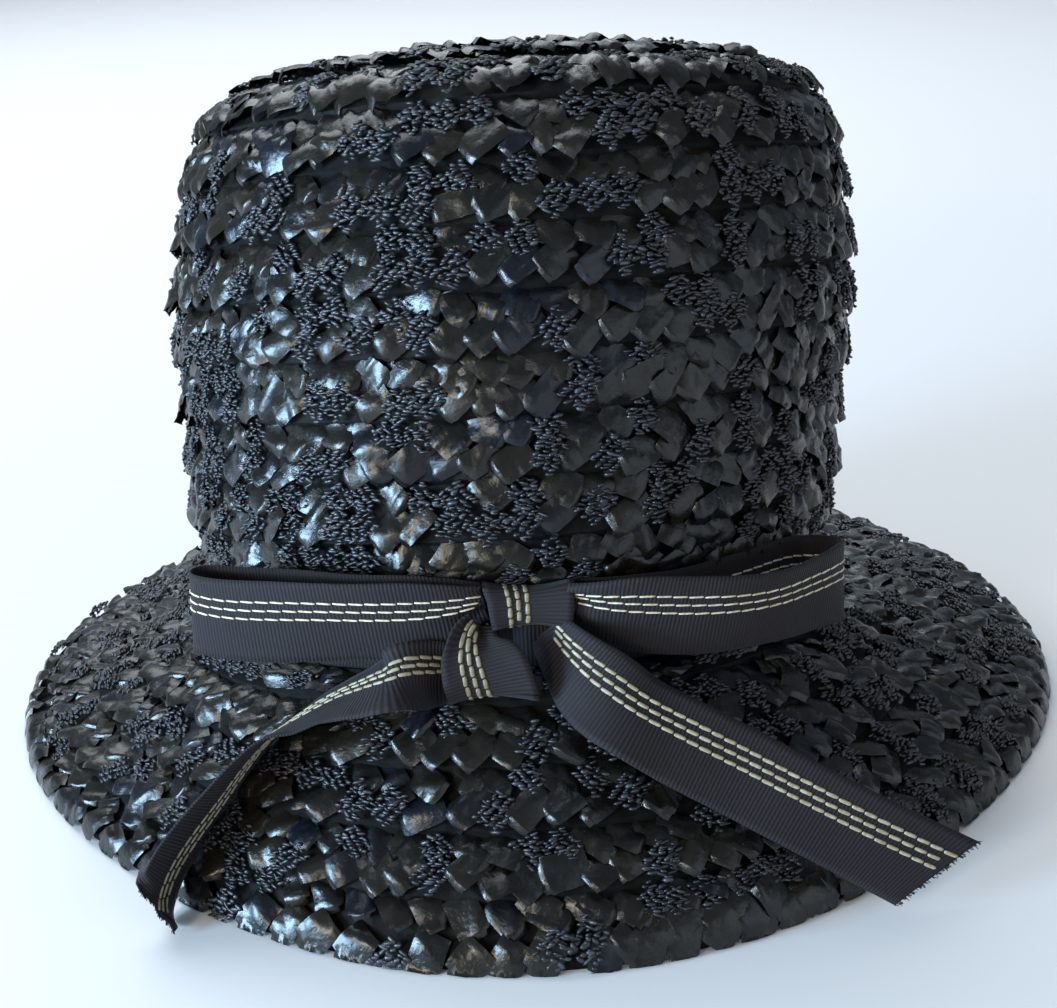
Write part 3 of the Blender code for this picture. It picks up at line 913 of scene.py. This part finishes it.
def stitch_piece(name, ribbon, settings, frayed, bold):
    """Rows of stitches on both faces of a ribbon, and loose yarns at a cut end."""
    bead, bead_faces = bead_pattern()
    length = settings.stitch_length / MM * (1 - 0.24 * bold)
    lift = settings.ribbon_thickness / MM / 2 + 0.08
    cloth = Cloth()
    for row, share in enumerate(STITCH_ROWS):
        line = ribbon.line(share)
        starts = np.arange(0.4 + row * 1.1, ribbon.run[-1] - length * 0.9, length)
        for sign in (1.0, -1.0):
            runs = starts[:, None] + (bead[None, :, 0] + 0.5) * (length * 0.93)
            place = np.empty((*runs.shape, 3))
            for k in range(3):
                out = np.interp(runs, ribbon.run, ribbon.face[:, k])
                over = np.interp(runs, ribbon.run, ribbon.side[:, k])
                place[..., k] = (np.interp(runs, ribbon.run, line[:, k])
                                 + over * (bead[None, :, 1] * (0.55 + 0.6 * bold) + bead[None, :, 0] * 0.2)
                                 + out * (sign * lift + bead[None, :, 2] * 0.45))
            # The stitches' tone is their boldness, which paints the thread browner and darker: painted shade
            cloth.add(place, bead_faces, bead[:, :2], np.full(len(starts), bold), 0)
    if frayed:
        rng = np.random.default_rng(settings.seed)
        shares = rng.uniform(0.0, 1.0, LOOSE_YARNS)
        ends = np.stack([ribbon.line(share)[-1] for share in shares])
        reach = rng.uniform(0.5, 1.7, LOOSE_YARNS)[:, None, None]
        bent = rng.normal(0, 0.35, (LOOSE_YARNS, 1, 1))
        along = bead[None, :, 0, None] + 0.3
        yarn = (ends[:, None, :] + ribbon.ahead[-1] * along * reach
                + ribbon.side[-1] * (bead[None, :, 1, None] * 0.22 + bent * along * reach)
                + ribbon.face[-1] * bead[None, :, 2, None] * 0.22)
        cloth.add(yarn, bead_faces, bead[:, :2], np.zeros(LOOSE_YARNS), 1)
    return cloth.finish(name, (finish_named("cream_thread", thread_finish, settings),
                               finish_named("grosgrain_ribbon", grosgrain_finish, settings)), "grosgrain")


def declare_ribbon(ribbon, node):
    """Hide the node that a ribbon stands for; its cut size is worked out but not kept."""
    flat, area = ribbon.flat()
    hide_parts(node)


class HAT_OT_band(bpy.types.Operator):
    """Wrap the ribbon band round the foot of the crown."""

    bl_idname = "hat.band"
    bl_label = "Wrap the band"

    def execute(self, context):
        settings = context.scene.hat
        stations = 121
        angles = np.linspace(math.pi, 3 * math.pi, stations)
        radius = np.full(stations, FOOT_RADIUS)
        low = crown_points(angles, radius, np.full(stations, BAND_FOOT), BAND_OFFSET)
        high = crown_points(angles, radius, np.full(stations, BAND_TOP), BAND_OFFSET)
        middle = (low + high) / 2
        side = high - low
        width = np.linalg.norm(side, axis=1)
        side = side / width[:, None]
        sections = [(*m, *s, w) for m, s, w in zip(middle, side, width)]
        ribbon = Ribbon(sections, steps=1)
        item, thread = ribbon_piece("ribbon_band", ribbon, settings, across=6)
        declare_ribbon(ribbon, "hat_band")
        return {"FINISHED"}


class HAT_OT_loops(bpy.types.Operator):
    """Form the two loops of the bow."""

    bl_idname = "hat.loops"
    bl_label = "Form the loops"

    def execute(self, context):
        settings = context.scene.hat
        for name, sections, node in (("left_loop_ribbon", LEFT_LOOP, "bow_left_loop"),
                                     ("right_loop_ribbon", RIGHT_LOOP, "bow_right_loop")):
            ribbon = Ribbon(sections, gather=0.8, ripple=0.5)
            item, thread = ribbon_piece(name, ribbon, settings)
            declare_ribbon(ribbon, node)
        return {"FINISHED"}


def boxy(value):
    """A sine or cosine pushed outward, so that a round path becomes a boxy one."""
    return math.copysign(abs(value) ** 0.7, value)


class HAT_OT_knot(bpy.types.Operator):
    """Wrap the knot round the middle of the bow and let its end drop."""

    bl_idname = "hat.knot"
    bl_label = "Wrap the knot"

    def execute(self, context):
        settings = context.scene.hat
        sections = []
        stations = 24
        for step in range(stations + 1):
            turn = math.radians(-60.0 - 360.0 * step / stations)
            out = 4.8 + 4.5 * boxy(math.cos(turn))
            up = 17.0 + 5.5 * boxy(math.sin(turn))
            front = crown_points(np.array([math.pi]), np.array([FOOT_RADIUS]), np.array([up]), 1.3)[0]
            spot = np.array([-0.8 + 0.6 * math.cos(turn), front[1], front[2]]) - ROW_BACK * out
            sections.append((*spot, -1.0, 0.0, 0.0, 19.8 + 1.8 * math.sin(turn)))
        ribbon = Ribbon(sections, steps=2, belly=1.3)
        # Bold stitching on the knot is shorter and broader, and painted browner and darker as shade
        item, thread = ribbon_piece("knot_ribbon", ribbon, settings, bold=1.0)
        declare_ribbon(ribbon, "bow_knot")
        ribbon = Ribbon(KNOT_END, gather=0.8, belly=1.2)
        item, thread = ribbon_piece("knot_end_ribbon", ribbon, settings, bold=1.0)
        declare_ribbon(ribbon, "knot_end")
        return {"FINISHED"}


class HAT_OT_tails(bpy.types.Operator):
    """Lay the two tails over the brim."""

    bl_idname = "hat.tails"
    bl_label = "Lay the tails"

    def execute(self, context):
        settings = context.scene.hat
        for name, sections, node, slant in (("left_tail_ribbon", LEFT_TAIL, "left_tail", 3.0),
                                            ("right_tail_ribbon", RIGHT_TAIL, "right_tail", 6.0)):
            ribbon = Ribbon(sections, gather=0.5, ripple=0.35, slant=slant)
            # Bold stitching on the tails is shorter and broader, and painted browner and darker as shade
            item, thread = ribbon_piece(name, ribbon, settings, frayed=True, bold=0.7)
            declare_ribbon(ribbon, node)
        return {"FINISHED"}


class HAT_OT_stage(bpy.types.Operator):
    """Set the pale floor and backdrop, the soft lights and the camera."""

    bl_idname = "hat.stage"
    bl_label = "Set the stage"

    def execute(self, context):
        settings = context.scene.hat
        deselect_all()
        bpy.ops.mesh.primitive_plane_add(size=1.0, location=(0.0, 0.0, 0.0))
        floor = bpy.context.object
        floor.name = "floor"
        edit_whole(bpy.ops.transform.resize, value=(8.0, 5.0, 1.0))
        edit_whole(bpy.ops.mesh.select_all, action="DESELECT")
        for edge in floor.data.edges:
            edge.select = all(floor.data.vertices[k].co.y > 0 for k in edge.vertices)
        bpy.ops.object.mode_set(mode="EDIT")
        bpy.ops.mesh.select_mode(type="EDGE")
        for push, lift in ((0.25, 0.03), (0.2, 0.12), (0.12, 0.2), (0.03, 0.25), (0.0, 3.0)):
            bpy.ops.mesh.extrude_region_move(TRANSFORM_OT_translate={"value": (0.0, push, lift)})
        bpy.ops.object.mode_set(mode="OBJECT")
        bpy.ops.object.shade_smooth()
        floor.data.materials.append(paper_finish("stage_paper", tuple(settings.floor_colour), 0.85))
        for name, place, size, power, colour in (
                ("window", (-1.2, -0.64, 0.2), 0.45, 44.0, (0.46, 0.73, 1.0)),
                ("lamp", (-0.8, -1.2, 0.5), 0.3, 7.5, (1.0, 0.88, 0.7)),
                ("ceiling", (-0.4, 1.05, 1.6), 1.7, 38.0, (0.9, 0.96, 1.0)),
                ("fill", (1.1, -0.9, 0.4), 1.3, 5.4, (0.74, 0.87, 1.0))):
            light = bpy.data.lights.new(name, "AREA")
            light.energy = power
            light.size = size
            light.color = colour
            lamp = bpy.data.objects.new(name, light)
            bpy.context.collection.objects.link(lamp)
            lamp.location = place
            aim = Vector((0.0, 0.0, 0.08)) - Vector(place)
            lamp.rotation_euler = aim.to_track_quat("-Z", "Y").to_euler()
        world = context.scene.world or bpy.data.worlds.new("room")
        context.scene.world = world
        world.use_nodes = True
        sky = world.node_tree.nodes["Background"]
        sky.inputs["Color"].default_value = (0.74, 0.87, 1.0, 1.0)
        sky.inputs["Strength"].default_value = 0.26
        lens = bpy.data.cameras.new("camera")
        lens.sensor_fit = "HORIZONTAL"
        lens.sensor_width = 36.0
        lens.lens = FOCAL_PIXELS / VIEW_PIXELS * lens.sensor_width
        lens.clip_start = 0.01
        camera = bpy.data.objects.new("camera", lens)
        bpy.context.collection.objects.link(camera)
        right = Vector((0.9988, -0.0186, -0.0444)).normalized()
        forward = Vector((0.0, 0.9225, -0.386)).normalized()
        up = right.cross(forward).normalized()
        turn = Matrix((right, up, -forward)).transposed()
        camera.matrix_world = Matrix.Translation(Vector((0.3, -486.1, 256.3)) * MM) @ turn.to_4x4()
        context.scene.camera = camera
        context.scene.view_settings.view_transform = "Standard"
        return {"FINISHED"}


class HAT_PT_panel(bpy.types.Panel):
    """The hat's sizes, colours and steps in the sidebar."""

    bl_idname = "HAT_PT_panel"
    bl_label = "Straw hat"
    bl_space_type = "VIEW_3D"
    bl_region_type = "UI"
    bl_category = "Hat"

    def draw(self, context):
        for name in HAT_PG_settings.__annotations__:
            self.layout.prop(context.scene.hat, name)
        for step in STEPS:
            self.layout.operator(step.bl_idname)


STEPS = (HAT_OT_foundation, HAT_OT_plait, HAT_OT_band, HAT_OT_loops, HAT_OT_knot, HAT_OT_tails, HAT_OT_stage)
CLASSES = (HAT_PG_settings, *STEPS, HAT_PT_panel)


def register():
    for item in CLASSES:
        bpy.utils.register_class(item)
    bpy.types.Scene.hat = bpy.props.PointerProperty(type=HAT_PG_settings)


def unregister():
    del bpy.types.Scene.hat
    for item in reversed(CLASSES):
        bpy.utils.unregister_class(item)


def main():
    """Dress the hat and set the stage."""
    register()
    deselect_all()
    bpy.ops.hat.foundation()
    bpy.ops.hat.plait()
    bpy.ops.hat.band()
    bpy.ops.hat.loops()
    bpy.ops.hat.knot()
    bpy.ops.hat.tails()
    bpy.ops.hat.stage()


if __name__ == "__main__":
    main()
